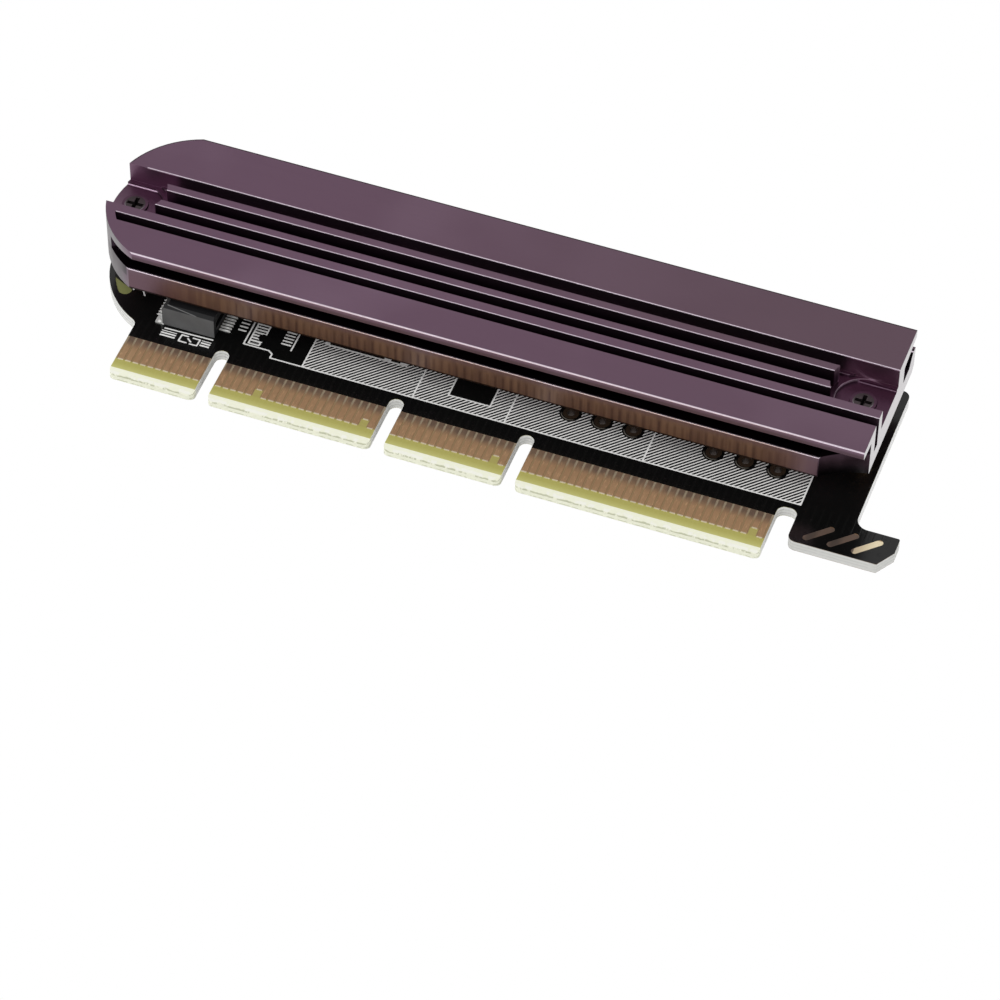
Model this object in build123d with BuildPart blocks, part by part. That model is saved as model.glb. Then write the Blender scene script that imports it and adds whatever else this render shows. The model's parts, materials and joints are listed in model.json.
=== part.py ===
from build123d import *
import os
from math import cos, radians, sin, sqrt, tan

os.makedirs("parts", exist_ok=True)

# The origin is contact 1 of the card edge: X runs along the contacts, Y from the front edge
# to the back of the card, and Z = 0 is the underside of the board. Sizes are in millimetres.

# Board
board_t = 1.57
board_right = 93.2
board_back = 31.5
board_front = 8.25
copper_t = 0.04
bulge_centre = (4.08, 20.08)
bulge_r = 12.03
corner_r = 1.0
bare_band_w = 1.8
bare_band_margin = 0.75
bare_band_start = 217.5
bare_band_sweep = -15

# Card edge with its contacts
contact_pitch = 1.0
contact_w = 0.7
contact_gap_pins = 2
keyed_group = 11
contact_count = 82
contact_front = 2.4
mask_edge = 6.5
edge_margin = 0.65
notch_w = 1.9
notch_ends = (10.55, 33.65, 50.65)
short_contacts_top = (17, 31, 48, 81)
short_contacts_bottom = (1,)
short_contact_front = 3.6
bevel_len = 1.0
bevel_angle = 20
tongue_corner_r = 0.8

# Retention hook right of the contacts
hook_notch_w = 2.5
hook_notch_r = 1.0
hook_right = 98.95
hook_front = 3.3
hook_back = 8.1
hook_inner_r = 1.6
hook_bevel_x = 1.55
hook_bevel_y = 2.45
bar_len = 4.2
bar_w = 0.85
bar_pitch = 3.04
bar_first = (89.5, 5.55)
bar_angle = 43
bar_count = 3

# Drive bay: socket, holes and centre line
centre_y = 20.45
drive_zero_x = 6.0
drive_lengths = (30, 42, 60, 80)
drive_t = 0.8
drive_bottom = 1.25
drive_hole_d = 2.8
drive_pad_d = 3.9
plating_t = 0.25
side_hole_xs = (55.15, 59.2, 63.25, 73.55, 77.65, 81.75)
side_hole_y = 13.6
side_hole_d = 1.0
side_pad_d = 2.0

# Socket
socket_front_x = 2.6
socket_depth = 6.95
socket_end_room = 1.2
socket_h = 3.45
socket_end_chamfer = 0.4
socket_standoff = 0.1
slot_lip = 0.7
slot_depth = 3.6
slot_clearance = 0.1
slot_end_wall = 0.7
socket_peg_d = 1.1
socket_peg_len = 1.0
socket_peg_inset = 1.6
socket_peg_x = 4.85
hole_clearance = 0.05
pin_pitch = 0.5
pin_w = 0.22
pin_t = 0.15
pin_channel_clearance = 0.04
upper_pins = 38
lower_pins = 37
key_first = 29
key_pins = 4
tail_len = 1.2
front_tail_len = 1.4
hold_down_gap = 0.1
hold_down_len = 1.0
hold_down_t = 0.2
hold_down_h = 1.3

# Heat sink, an extruded profile that is milled at both ends
sink_gap = 4.7
sink_h = 6.75
sink_arc_centre = (3.64, 20.32)
sink_arc_r = 11.62
sink_front = 9.65
sink_back = 31.25
fin_pitch = 2.8
fin_front = 15.65
fin_thicknesses = (1.35, 1.05, 1.1)
groove_floor = 3.9
pocket_step = 0.4
deep_floor = 2.15
front_web_front = 12.75
front_web_back = 14.4
back_web_t = 2.35
web_foot_step = 0.5
web_foot_h = 0.3
plate_tip_t = 1.1
front_plate_root_t = 1.35
back_plate_root_t = 1.95
front_flange_y = 10.05
front_flange_h = 3.4
back_lip_w = 2.35
back_lip_tip_t = 1.05
back_lip_h = 3.75
back_lip_r = 0.45
back_lip_chamfer = 0.7
fin_cut_r = 4.17
pocket_r = 3.5
closed_groove_rim = 1.15
scoop_start_x = 87.5
scoop_mid = (89.25, 11.3)

# Fasteners
post_x_left = -5.22
post_x_right = 89.88
post_d = 3.6
post_shank_d = 2.8
post_shank_recess = 0.1
screw_d = 2.0
screw_head_d = 3.3
screw_head_angle = 90
screw_len = 7.6
screw_clearance = 0.1
thread_clearance = 0.01
head_clearance = 0.05
head_proud = 0.25
cross_w = 0.5
cross_len = 2.1
cross_depth = 0.9

# Small parts on the board, size along X, along Y and height
cap_size = (1.25, 2.0, 0.9)
cap_end = 0.4
cap_spots = ((-1.1, 17.3), (-1.1, 23.9), (-1.1, 27.2))
res_size = (0.8, 1.6, 0.45)
res_end = 0.3
res_spots = ((88.4, 24.0), (91.2, 24.0))
bulk_size = (2.8, 3.5, 1.9)
bulk_spots = ((90.2, 27.4),)
bulk_leg_w = 2.2
bulk_leg_t = 0.15
bulk_leg_h = 1.0

# Derived places
board_top = board_t
sink_z = board_top + sink_gap
sink_top = sink_z + sink_h
tongue_left = -edge_margin
tongue_right = contact_count * contact_pitch + contact_gap_pins * contact_pitch - contact_pitch + edge_margin
hook_left = tongue_right + hook_notch_w
groove_z = sink_z + groove_floor
pocket_z = groove_z - pocket_step
back_web_front = fin_front + fin_pitch * len(fin_thicknesses)
back_web_back = back_web_front + back_web_t
post_xs = (post_x_left, post_x_right)
socket_back_x = socket_front_x + socket_depth
socket_len = upper_pins * pin_pitch + 2 * socket_end_room
socket_y0 = centre_y - socket_len / 2
socket_y1 = centre_y + socket_len / 2
drive_z = board_top + drive_bottom
hole_xs = [drive_zero_x + length for length in drive_lengths]


def contact_x(pin):
    """X of an edge contact: the key notch takes the room of two contacts after the first group."""
    return (pin - 1 + (contact_gap_pins if pin > keyed_group else 0)) * contact_pitch


def contact_pins():
    """Contacts that stand clear of the notches."""
    margin = contact_w / 2
    pins = []
    for pin in range(1, contact_count + 1):
        x = contact_x(pin)
        if all(x + margin < end or x - margin > end + notch_w for end in notch_ends):
            pins.append(pin)
    return pins


# Board outline
with BuildPart() as pcb:
    with BuildSketch() as outline:
        with Locations(bulge_centre):
            Circle(bulge_r)
        with Locations((bulge_centre[0], board_back)):
            Rectangle(2 * bulge_r, bulge_r, align=(Align.CENTER, Align.MIN), mode=Mode.SUBTRACT)
        with Locations((bulge_centre[0], board_front)):
            Rectangle(board_right - bulge_centre[0], board_back - board_front, align=(Align.MIN, Align.MIN))
        with Locations((tongue_left, 0)):
            Rectangle(tongue_right - tongue_left, bulge_centre[1], align=(Align.MIN, Align.MIN))
        with BuildLine():
            Polyline(
                (hook_left, hook_front),
                (hook_right - hook_bevel_x, hook_front),
                (hook_right, hook_front + hook_bevel_y),
                (hook_right, hook_back),
                (board_right, hook_back),
                (board_right, bulge_centre[1]),
                (hook_left, bulge_centre[1]),
                close=True,
            )
        make_face()
        for end in notch_ends:
            with Locations((end + notch_w / 2, board_front - notch_w / 2)):
                Circle(notch_w / 2, mode=Mode.SUBTRACT)
                Rectangle(notch_w, board_front, align=(Align.CENTER, Align.MAX), mode=Mode.SUBTRACT)
        # rounded corners of the hook notch
        hook_notch = outline.vertices().filter_by_position(Axis.X, tongue_right - 0.01, hook_left + 0.01)
        fillet(hook_notch.filter_by_position(Axis.Y, board_front - 0.01, board_front + 0.01), hook_notch_r)
        fillet(outline.vertices().group_by(Axis.X)[-1].sort_by(Axis.Y)[-1], corner_r / 4)
        fillet(outline.vertices().filter_by_position(Axis.X, hook_left - 0.01, hook_left + 0.01)
               .sort_by(Axis.Y)[0], hook_notch_r)
        for end, radius in ((0, hook_inner_r), (-1, corner_r)):
            right_side = outline.vertices().filter_by_position(Axis.X, board_right - 0.01, board_right + 0.01)
            fillet(right_side.sort_by(Axis.Y)[end], radius)
        left_side = outline.vertices().filter_by_position(Axis.X, tongue_left - 0.01, tongue_left + 0.01)
        fillet(left_side.sort_by(Axis.Y)[-1], corner_r)
        fillet(outline.vertices().filter_by_position(Axis.Y, -0.01, 0.01), tongue_corner_r)
    extrude(amount=board_t)
    # bare laminate of the card edge, lower than the coated board by the copper on both faces
    for z in (0, board_top - copper_t):
        with BuildSketch(Plane.XY.offset(z)):
            with Locations((tongue_left - edge_margin, 0)):
                Rectangle(
                    tongue_right - tongue_left + 2 * edge_margin,
                    mask_edge,
                    align=(Align.MIN, Align.MIN),
                )
        extrude(amount=copper_t, mode=Mode.SUBTRACT)
    # bevels of the front edge
    bevel_drop = bevel_len * tan(radians(bevel_angle))
    with BuildSketch(Plane.YZ.offset(tongue_left - edge_margin)):
        for face_z, way in ((copper_t, 1), (board_top - copper_t, -1)):
            with BuildLine():
                Polyline(
                    (0, face_z - way * copper_t),
                    (bevel_len, face_z - way * copper_t),
                    (bevel_len, face_z),
                    (0, face_z + way * bevel_drop),
                    close=True,
                )
            make_face()
    extrude(amount=tongue_right - tongue_left + 2 * edge_margin, mode=Mode.SUBTRACT)
    # drive holes and side holes with the seats of their copper rings
    for diameter, pad_d, spots in (
        (drive_hole_d, drive_pad_d, [(x, centre_y) for x in hole_xs]),
        (side_hole_d, side_pad_d, [(x, side_hole_y) for x in side_hole_xs]),
    ):
        with BuildSketch():
            with Locations(spots):
                Circle(diameter / 2 + plating_t)
        extrude(amount=board_t, mode=Mode.SUBTRACT)
        for z in (0, board_top - copper_t):
            with BuildSketch(Plane.XY.offset(z)):
                with Locations(spots):
                    Circle(pad_d / 2)
            extrude(amount=copper_t, mode=Mode.SUBTRACT)
    # post holes and socket peg holes
    with BuildSketch():
        with Locations([(x, centre_y) for x in post_xs]):
            Circle(post_shank_d / 2 + hole_clearance)
        with Locations([(socket_peg_x, centre_y + side * (socket_len / 2 - socket_peg_inset))
                        for side in (-1, 1)]):
            Circle(socket_peg_d / 2 + hole_clearance)
    extrude(amount=board_t, mode=Mode.SUBTRACT)
    # seats of the bars, and the band along the left end that the coating leaves bare
    with BuildSketch(Plane.XY.offset(board_top - copper_t)):
        with Locations([Location((bar_first[0] + i * bar_pitch, bar_first[1], 0), (0, 0, bar_angle))
                        for i in range(bar_count)]):
            SlotOverall(bar_len, bar_w)
    extrude(amount=copper_t, mode=Mode.SUBTRACT)
    band_r = bulge_r - bare_band_margin - bare_band_w / 2
    with BuildSketch(Plane.XY.offset(board_top - copper_t)):
        with BuildLine() as band:
            CenterArc(bulge_centre, band_r, bare_band_start, bare_band_sweep)
        SlotArc(band.edges()[0], bare_band_w)
    extrude(amount=copper_t, mode=Mode.SUBTRACT)
pcb.part.label = "pcb"
export_step(pcb.part, "parts/pcb.step")

# Card edge contacts, flush with the coated faces of the board
for name, z, short_pins in (
    ("edge_contacts_top", board_top - copper_t, short_contacts_top),
    ("edge_contacts_bottom", 0, short_contacts_bottom),
):
    with BuildPart() as contacts:
        with BuildSketch(Plane.XY.offset(z)):
            for pin in contact_pins():
                front = short_contact_front if pin in short_pins else contact_front
                with Locations((contact_x(pin), front)):
                    Rectangle(contact_w, mask_edge - front, align=(Align.CENTER, Align.MIN))
        extrude(amount=copper_t)
    contacts.part.label = name
    export_step(contacts.part, "parts/" + name + ".step")

# Plated linings of the holes, each with a ring on both faces
for name, diameter, pad_d, spots in (
    ("drive_hole_linings", drive_hole_d, drive_pad_d, [(x, centre_y) for x in hole_xs]),
    ("side_hole_linings", side_hole_d, side_pad_d, [(x, side_hole_y) for x in side_hole_xs]),
):
    with BuildPart() as linings:
        for spot in spots:
            with BuildSketch(Plane((spot[0], spot[1], 0), x_dir=(1, 0, 0), z_dir=(0, -1, 0))):
                with BuildLine():
                    Polyline(
                        (diameter / 2, 0),
                        (pad_d / 2, 0),
                        (pad_d / 2, copper_t),
                        (diameter / 2 + plating_t, copper_t),
                        (diameter / 2 + plating_t, board_top - copper_t),
                        (pad_d / 2, board_top - copper_t),
                        (pad_d / 2, board_top),
                        (diameter / 2, board_top),
                        close=True,
                    )
                make_face()
            revolve(axis=Axis((spot[0], spot[1], 0), (0, 0, 1)))
    linings.part.label = name
    export_step(linings.part, "parts/" + name + ".step")

# Copper bars of the hook
with BuildPart() as hook_bars:
    with BuildSketch(Plane.XY.offset(board_top - copper_t)):
        with Locations([Location((bar_first[0] + i * bar_pitch, bar_first[1], 0), (0, 0, bar_angle))
                        for i in range(bar_count)]):
            SlotOverall(bar_len, bar_w)
    extrude(amount=copper_t)
hook_bars.part.label = "hook_bars"
export_step(hook_bars.part, "parts/hook_bars.step")

# Heat sink: one extruded section with two plates, three fins and a flange on each side
with BuildPart() as heatsink:
    sink_left = sink_arc_centre[0] - sink_arc_r
    with BuildSketch(Plane.YZ.offset(sink_left)) as section:
        with BuildLine():
            Polyline(
                (front_flange_y, sink_z),
                (front_flange_y, sink_z + front_flange_h),
                (front_web_front, sink_z + front_flange_h),
                (front_web_front, sink_top - front_plate_root_t),
                (sink_front, sink_top - plate_tip_t),
                (sink_front, sink_top),
                (front_web_back, sink_top),
                (front_web_back, sink_z + deep_floor),
                (fin_front, sink_z + deep_floor),
                (fin_front, groove_z),
                (back_web_front - web_foot_step, groove_z),
                (back_web_front - web_foot_step, groove_z + web_foot_h),
                (back_web_front, groove_z + web_foot_h),
                (back_web_front, sink_top),
                (sink_back, sink_top),
                (sink_back, sink_top - plate_tip_t),
                (back_web_back, sink_top - back_plate_root_t),
                (back_web_back, sink_z + deep_floor),
                (sink_back - back_lip_w, sink_z + deep_floor),
                (sink_back - back_lip_tip_t, sink_z + back_lip_h),
                (sink_back, sink_z + back_lip_h),
                (sink_back, sink_z + back_lip_chamfer),
                (sink_back - back_lip_chamfer, sink_z),
                close=True,
            )
        make_face()
        for i, thickness in enumerate(fin_thicknesses):
            with Locations((fin_front + i * fin_pitch, groove_z)):
                Rectangle(thickness, sink_top - groove_z, align=(Align.MIN, Align.MIN))
        lip_corners = section.vertices().filter_by_position(
            Axis.Z, sink_z + back_lip_h - 0.01, sink_z + back_lip_h + 0.01)
        fillet(lip_corners.filter_by_position(Axis.Y, back_web_back, sink_back + 0.01), back_lip_r)
    extrude(amount=board_right - sink_left)
    # the groove behind the front plate ends at a rim that follows the arc of the left end
    with BuildSketch(Plane.XY.offset(sink_z + deep_floor)):
        with Locations((sink_arc_centre[0], front_web_back)):
            Rectangle(sink_arc_r, fin_front - front_web_back, align=(Align.MAX, Align.MIN))
        with Locations(sink_arc_centre):
            Circle(sink_arc_r - closed_groove_rim, mode=Mode.SUBTRACT)
    extrude(amount=sink_h - deep_floor)
    # plan with the arc of the left end
    with BuildSketch(Plane.XY.offset(sink_z)) as plan:
        with Locations(sink_arc_centre):
            Circle(sink_arc_r)
            Rectangle(board_right - sink_arc_centre[0], 2 * sink_arc_r, align=(Align.MIN, Align.CENTER))
    extrude(amount=sink_h, mode=Mode.INTERSECT)
    # the fins are milled away round each screw, out to the end of the heat sink
    fin_cut_front = fin_front + fin_thicknesses[0]
    for x, end_x in ((post_x_left, sink_left), (post_x_right, board_right)):
        length = abs(end_x - x)
        side = Align.MAX if end_x < x else Align.MIN
        for floor_z, radius, back in (
            (groove_z, fin_cut_r, back_web_front),
            (pocket_z, pocket_r, back_web_front - web_foot_step),
        ):
            with BuildSketch(Plane.XY.offset(floor_z)):
                with Locations((x, centre_y)):
                    Circle(radius)
                with Locations((x, fin_cut_front)):
                    Rectangle(length, back - fin_cut_front, align=(side, Align.MIN))
                with Locations((x, fin_cut_front)):
                    Rectangle(4 * radius, radius, align=(Align.CENTER, Align.MAX), mode=Mode.SUBTRACT)
                with Locations((x, back)):
                    Rectangle(4 * radius, radius, align=(Align.CENTER, Align.MIN), mode=Mode.SUBTRACT)
            extrude(amount=sink_top - floor_z, mode=Mode.SUBTRACT)
    # scoop in the front flange at the right end
    with BuildSketch(Plane.XY.offset(sink_z)):
        with BuildLine():
            ThreePointArc((scoop_start_x, front_flange_y), scoop_mid, (board_right, front_web_front))
            Polyline(
                (board_right, front_web_front),
                (board_right, front_flange_y),
                (scoop_start_x, front_flange_y),
            )
        make_face()
    extrude(amount=front_flange_h, mode=Mode.SUBTRACT)
    # countersunk screw holes
    with Locations([(x, centre_y, pocket_z) for x in post_xs]):
        CounterSinkHole(
            radius=screw_d / 2 + screw_clearance,
            counter_sink_radius=screw_head_d / 2 + head_clearance,
            depth=pocket_z - sink_z,
            counter_sink_angle=screw_head_angle,
        )
heatsink.part.label = "heatsink"
export_step(heatsink.part, "parts/heatsink.step")

# Posts that carry the heat sink and take its screws
with BuildPart() as heatsink_posts:
    with BuildSketch(Plane.XY.offset(board_top)):
        with Locations([(x, centre_y) for x in post_xs]):
            Circle(post_d / 2)
    extrude(amount=sink_gap)
    with BuildSketch(Plane.XY.offset(post_shank_recess)):
        with Locations([(x, centre_y) for x in post_xs]):
            Circle(post_shank_d / 2)
    extrude(amount=board_top - post_shank_recess)
    with BuildSketch(Plane.XY.offset(post_shank_recess)):
        with Locations([(x, centre_y) for x in post_xs]):
            Circle(screw_d / 2 + thread_clearance)
    extrude(amount=sink_z - post_shank_recess, mode=Mode.SUBTRACT)
heatsink_posts.part.label = "heatsink_posts"
export_step(heatsink_posts.part, "parts/heatsink_posts.step")

# Flat head screws with a cross recess
head_drop = (screw_head_d - screw_d) / 2 / tan(radians(screw_head_angle / 2))
head_z = pocket_z + head_proud
with BuildPart() as heatsink_screws:
    for x in post_xs:
        with BuildSketch(Plane((x, centre_y, 0), x_dir=(1, 0, 0), z_dir=(0, -1, 0))):
            with BuildLine():
                Polyline(
                    (0, head_z),
                    (screw_head_d / 2, head_z),
                    (screw_head_d / 2, pocket_z),
                    (screw_d / 2, pocket_z - head_drop),
                    (screw_d / 2, pocket_z - screw_len),
                    (0, pocket_z - screw_len),
                    close=True,
                )
            make_face()
        revolve(axis=Axis((x, centre_y, 0), (0, 0, 1)))
    with BuildSketch(Plane.XY.offset(head_z)):
        with Locations([(x, centre_y) for x in post_xs]):
            Rectangle(cross_len, cross_w)
            Rectangle(cross_w, cross_len)
    extrude(amount=-cross_depth, taper=12, mode=Mode.SUBTRACT)
heatsink_screws.part.label = "heatsink_screws"
export_step(heatsink_screws.part, "parts/heatsink_screws.step")


def pin_y(index, count):
    return centre_y + (index - (count - 1) / 2) * pin_pitch


def pin_ys(count):
    """Places of one row of contacts, without those that the key takes."""
    return [pin_y(i, count) for i in range(count) if not key_first <= i < key_first + key_pins]


# Socket housing with its slot, key and contact channels
slot_z0 = drive_z - slot_clearance
slot_z1 = drive_z + drive_t + slot_clearance
slot_end_x = socket_back_x - slot_depth
channel_w = pin_w + 2 * pin_channel_clearance
riser_x = socket_front_x + slot_lip
foot_z = board_top
beam_z = board_top + socket_h - slot_lip
with BuildPart() as socket_housing:
    with BuildSketch(Plane.XZ.offset(-socket_y0)):
        with BuildLine():
            Polyline(
                (socket_front_x, board_top + socket_standoff),
                (socket_back_x, board_top + socket_standoff),
                (socket_back_x, board_top + socket_h),
                (socket_front_x + slot_lip, board_top + socket_h),
                (socket_front_x, board_top + socket_h - slot_lip),
                close=True,
            )
        make_face()
    extrude(amount=-socket_len)
    top_ends = socket_housing.edges().filter_by(Axis.X).group_by(Axis.Z)[-1]
    chamfer(top_ends, socket_end_chamfer)
    # slot for the drive
    with BuildSketch(Plane.YZ.offset(slot_end_x)):
        with Locations((centre_y, slot_z0)):
            Rectangle(socket_len - 2 * slot_end_wall, slot_z1 - slot_z0, align=(Align.CENTER, Align.MIN))
    extrude(amount=slot_depth, mode=Mode.SUBTRACT)
    # key rib
    key_y = (pin_y(key_first, upper_pins) + pin_y(key_first + key_pins - 1, upper_pins)) / 2
    with BuildSketch(Plane.YZ.offset(slot_end_x)):
        with Locations((key_y, slot_z0)):
            Rectangle(key_pins * pin_pitch / 2, slot_z1 - slot_z0, align=(Align.CENTER, Align.MIN))
    extrude(amount=slot_depth)
    # channels of the upper contacts, from the back face, and of the lower contacts, from the slot side
    with BuildSketch(*[Plane.XZ.offset(-y) for y in pin_ys(upper_pins)]):
        with BuildLine():
            Polyline(
                (socket_front_x, foot_z),
                (riser_x + pin_t + pin_channel_clearance, foot_z),
                (riser_x + pin_t + pin_channel_clearance, slot_z1 + pin_t),
                (slot_end_x, slot_z1 + pin_t),
                (slot_end_x, slot_z1 - slot_clearance),
                (socket_back_x - slot_lip, slot_z1 - slot_clearance),
                (socket_back_x - slot_lip, beam_z),
                (riser_x - pin_channel_clearance, beam_z),
                (riser_x - pin_channel_clearance, foot_z + 3 * pin_t),
                (socket_front_x, foot_z + 3 * pin_t),
                close=True,
            )
        make_face()
    extrude(amount=channel_w / 2, both=True, mode=Mode.SUBTRACT)
    with BuildSketch(*[Plane.XZ.offset(-y) for y in pin_ys(lower_pins)]):
        with BuildLine():
            Polyline(
                (slot_end_x, foot_z),
                (socket_back_x, foot_z),
                (socket_back_x, foot_z + 2 * pin_t + pin_channel_clearance),
                (socket_back_x - slot_lip, foot_z + 2 * pin_t + pin_channel_clearance),
                (socket_back_x - slot_lip, slot_z0 + slot_clearance),
                (slot_end_x, slot_z0 + slot_clearance),
                close=True,
            )
        make_face()
    extrude(amount=channel_w / 2, both=True, mode=Mode.SUBTRACT)
    # pegs in the board
    with BuildSketch(Plane.XY.offset(board_top - socket_peg_len)):
        with Locations([(socket_peg_x, centre_y + side * (socket_len / 2 - socket_peg_inset))
                        for side in (-1, 1)]):
            Circle(socket_peg_d / 2)
    extrude(amount=socket_peg_len + socket_standoff)
socket_housing.part.label = "socket_housing"
export_step(socket_housing.part, "parts/socket_housing.step")

# Socket contacts: bent strips whose ends rest on the drive's contacts and whose feet are soldered
half_t = pin_t / 2
upper_path = (
    (socket_front_x - tail_len, foot_z + half_t),
    (riser_x + half_t, foot_z + half_t),
    (riser_x + half_t, beam_z - pin_channel_clearance - half_t),
    (slot_end_x + slot_lip / 2, beam_z - pin_channel_clearance - half_t),
    (socket_back_x - 2 * slot_lip, slot_z1 - slot_clearance + pin_channel_clearance + half_t),
    (socket_back_x - slot_lip - 2 * pin_channel_clearance, slot_z1 + half_t),
)
lower_path = (
    (socket_back_x + front_tail_len, foot_z + half_t),
    (slot_end_x + slot_lip, foot_z + half_t),
    (slot_end_x + slot_lip / 2, foot_z + 2 * pin_t),
    (socket_back_x - 2 * slot_lip, slot_z0 + slot_clearance - pin_channel_clearance - half_t),
    (socket_back_x - slot_lip - 2 * pin_channel_clearance, slot_z0 - half_t),
)
for name, path, count in (
    ("socket_upper_contacts", upper_path, upper_pins),
    ("socket_lower_contacts", lower_path, lower_pins),
):
    with BuildPart() as contacts:
        with BuildSketch(*[Plane.XZ.offset(-y) for y in pin_ys(count)]):
            with BuildLine() as strip:
                Polyline(*path)
            trace(strip.line, line_width=pin_t)
        extrude(amount=pin_w / 2, both=True)
    contacts.part.label = name
    export_step(contacts.part, "parts/" + name + ".step")

# Hold-down tabs at the back corners of the socket
with BuildPart() as socket_hold_downs:
    with BuildSketch(Plane.XZ.offset(-socket_y0)):
        with BuildLine():
            Polyline(
                (socket_front_x - hold_down_len, board_top),
                (socket_front_x, board_top),
                (socket_front_x, board_top + hold_down_h),
                (socket_front_x - hold_down_t, board_top + hold_down_h),
                (socket_front_x - hold_down_t, board_top + hold_down_t),
                (socket_front_x - hold_down_len, board_top + hold_down_t),
                close=True,
            )
        make_face()
    extrude(amount=hold_down_gap - socket_end_room)
    mirror(about=Plane.XZ.offset(-centre_y))
socket_hold_downs.part.label = "socket_hold_downs"
export_step(socket_hold_downs.part, "parts/socket_hold_downs.step")

# Ceramic chips: a body between two soldered ends
for name, size, end_len, spots in (
    ("capacitor", cap_size, cap_end, cap_spots),
    ("resistor", res_size, res_end, res_spots),
):
    with BuildPart() as bodies:
        with Locations([(x, y, board_top) for x, y in spots]):
            Box(size[0], size[1] - 2 * end_len, size[2], align=(Align.CENTER, Align.CENTER, Align.MIN))
    bodies.part.label = name + "_bodies"
    export_step(bodies.part, "parts/" + name + "_bodies.step")
    with BuildPart() as ends:
        for x, y in spots:
            with Locations([(x, y + side * (size[1] - end_len) / 2, board_top) for side in (-1, 1)]):
                Box(size[0], end_len, size[2], align=(Align.CENTER, Align.CENTER, Align.MIN))
    ends.part.label = name + "_ends"
    export_step(ends.part, "parts/" + name + "_ends.step")

# Moulded bulk capacitor with a leg folded under each end
with BuildPart() as bulk_capacitor_body:
    with Locations([(x, y, board_top + bulk_leg_t) for x, y in bulk_spots]):
        Box(
            bulk_size[0],
            bulk_size[1] - 2 * bulk_leg_t,
            bulk_size[2] - bulk_leg_t,
            align=(Align.CENTER, Align.CENTER, Align.MIN),
        )
    chamfer(bulk_capacitor_body.edges().group_by(Axis.Z)[-1], bulk_leg_t)
bulk_capacitor_body.part.label = "bulk_capacitor_body"
export_step(bulk_capacitor_body.part, "parts/bulk_capacitor_body.step")

with BuildPart() as bulk_capacitor_legs:
    for x, y in bulk_spots:
        for side in (-1, 1):
            face_y = y + side * bulk_size[1] / 2
            with BuildSketch(Plane.YZ.offset(x)):
                with BuildLine():
                    Polyline(
                        (face_y, board_top),
                        (face_y - side * bulk_leg_h, board_top),
                        (face_y - side * bulk_leg_h, board_top + bulk_leg_t),
                        (face_y - side * bulk_leg_t, board_top + bulk_leg_t),
                        (face_y - side * bulk_leg_t, board_top + bulk_leg_h),
                        (face_y, board_top + bulk_leg_h),
                        close=True,
                    )
                make_face()
            extrude(amount=bulk_leg_w / 2, both=True)
bulk_capacitor_legs.part.label = "bulk_capacitor_legs"
export_step(bulk_capacitor_legs.part, "parts/bulk_capacitor_legs.step")
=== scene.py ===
import json
import math
from functools import reduce

import bmesh
import bpy
from mathutils import Matrix, Quaternion, Vector


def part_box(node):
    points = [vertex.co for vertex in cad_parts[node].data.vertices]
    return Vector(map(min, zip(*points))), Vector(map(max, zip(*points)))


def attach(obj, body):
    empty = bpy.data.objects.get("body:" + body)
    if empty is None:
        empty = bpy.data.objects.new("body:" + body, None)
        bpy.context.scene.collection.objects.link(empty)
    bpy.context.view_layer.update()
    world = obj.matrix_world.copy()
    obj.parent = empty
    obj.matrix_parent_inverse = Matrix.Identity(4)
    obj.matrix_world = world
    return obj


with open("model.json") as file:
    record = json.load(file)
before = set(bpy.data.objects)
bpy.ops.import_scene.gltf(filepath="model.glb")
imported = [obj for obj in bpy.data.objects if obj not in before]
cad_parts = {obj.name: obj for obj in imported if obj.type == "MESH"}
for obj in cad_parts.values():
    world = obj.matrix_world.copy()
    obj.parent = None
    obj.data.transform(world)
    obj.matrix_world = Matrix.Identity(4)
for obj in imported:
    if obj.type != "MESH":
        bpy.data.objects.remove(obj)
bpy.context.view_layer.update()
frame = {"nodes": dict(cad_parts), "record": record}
nodes = frame["nodes"]
mm = 0.001


def boxOf(name):  # lowest and highest corner of a node, in millimetres
    return [[round(v / mm, 3) for v in corner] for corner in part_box(name)]


# Places on the card that the materials and the added piece share, in millimetres
boardTop = boxOf("pcb")[1][2]
padFront, maskEdge = (corner[1] for corner in boxOf("edge_contacts_top"))
sinkLow, sinkHigh = boxOf("heatsink")
sinkTop = sinkHigh[2]
socketLow, socketHigh = boxOf("socket_housing")
centreY = (socketLow[1] + socketHigh[1]) / 2
screwLow, screwHigh = boxOf("heatsink_screws")
headRadius = 1.65
screwXs = (screwLow[0] + headRadius, screwHigh[0] - headRadius)
sideHoleXs = (55.15, 59.2, 63.25, 73.55, 77.65, 81.75)
shortContacts = (18.0, 32.0, 49.0, 82.0)
shortFront = 3.6


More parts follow.
